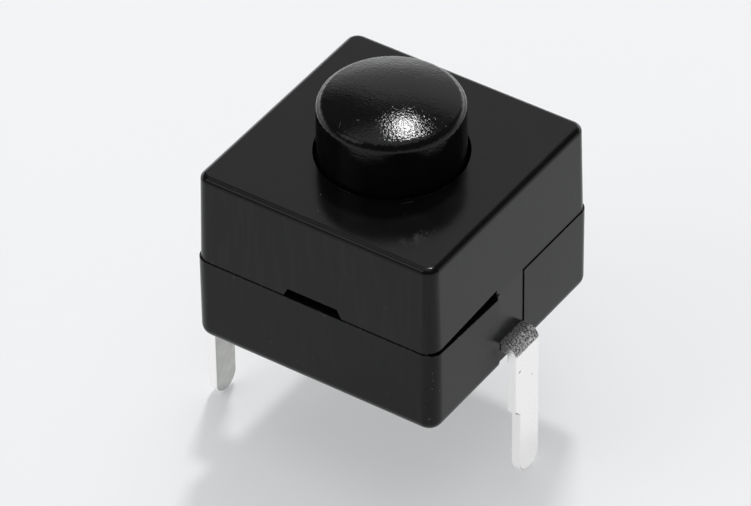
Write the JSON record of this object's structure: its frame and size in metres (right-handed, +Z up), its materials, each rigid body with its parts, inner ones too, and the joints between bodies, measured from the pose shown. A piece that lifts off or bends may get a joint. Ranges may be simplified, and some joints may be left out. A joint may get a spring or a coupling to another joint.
{
  "type": "latching pushbutton switch",
  "caption": "Small square latching pushbutton switch with a round domed button, a two-part black housing and two flat solder legs.",
  "frame": {"origin": "middle of the base's underside, on the face that lies on the circuit board", "axes": "+Z up through the button; +X towards the side with the leg close to the wall and the open parting slot; -Y towards the side with the front notch"},
  "size_m": [0.0141, 0.012, 0.0174],
  "materials": {
    "base_plastic": "moulded black, satin",
    "cover_plastic": "moulded black, satin with fine scuffs",
    "button_plastic": "moulded black, glossy with a fine grain",
    "rotor_plastic": "natural white, unpainted",
    "plated_strip": "tin plated, softly brushed",
    "contact_metal": "silver, polished",
    "bridge_metal": "spring brass, as rolled",
    "spring_steel": "bright drawn wire"
  },
  "bodies": {
    "housing": {"base": "base_plastic", "cover": "cover_plastic", "terminal_right": "plated_strip", "terminal_left": "plated_strip", "fixed_contact_right": "contact_metal", "fixed_contact_left": "contact_metal", "return_spring": "spring_steel"},
    "button": {"button": "button_plastic"},
    "rotor": {"rotor": "rotor_plastic"},
    "bridge": {"contact_bridge": "bridge_metal", "moving_contact_right": "contact_metal", "moving_contact_left": "contact_metal"}
  },
  "joints": [
    {"name": "button_press", "type": "slide", "parent": "housing", "child": "button", "axis": [0, 0, 1], "range_m": [-0.0016, 0], "stiffness_N_per_m": 300, "springref_m": 0.004, "deforming": ["return_spring"]},
    {"name": "rotor_turn", "type": "hinge", "parent": "button", "child": "rotor", "pos_m": [0, 0, 0.006], "axis": [0, 0, 1], "range_deg": [0, 22.5]},
    {"name": "bridge_drop", "type": "slide", "parent": "housing", "child": "bridge", "axis": [0, 0, 1], "range_m": [-0.0016, 0]}
  ],
  "couplings": [
    {"joint": "rotor_turn", "follows": "button_press", "rad_per_m": -245.43},
    {"joint": "bridge_drop", "follows": "button_press", "ratio": 1}
  ]
}
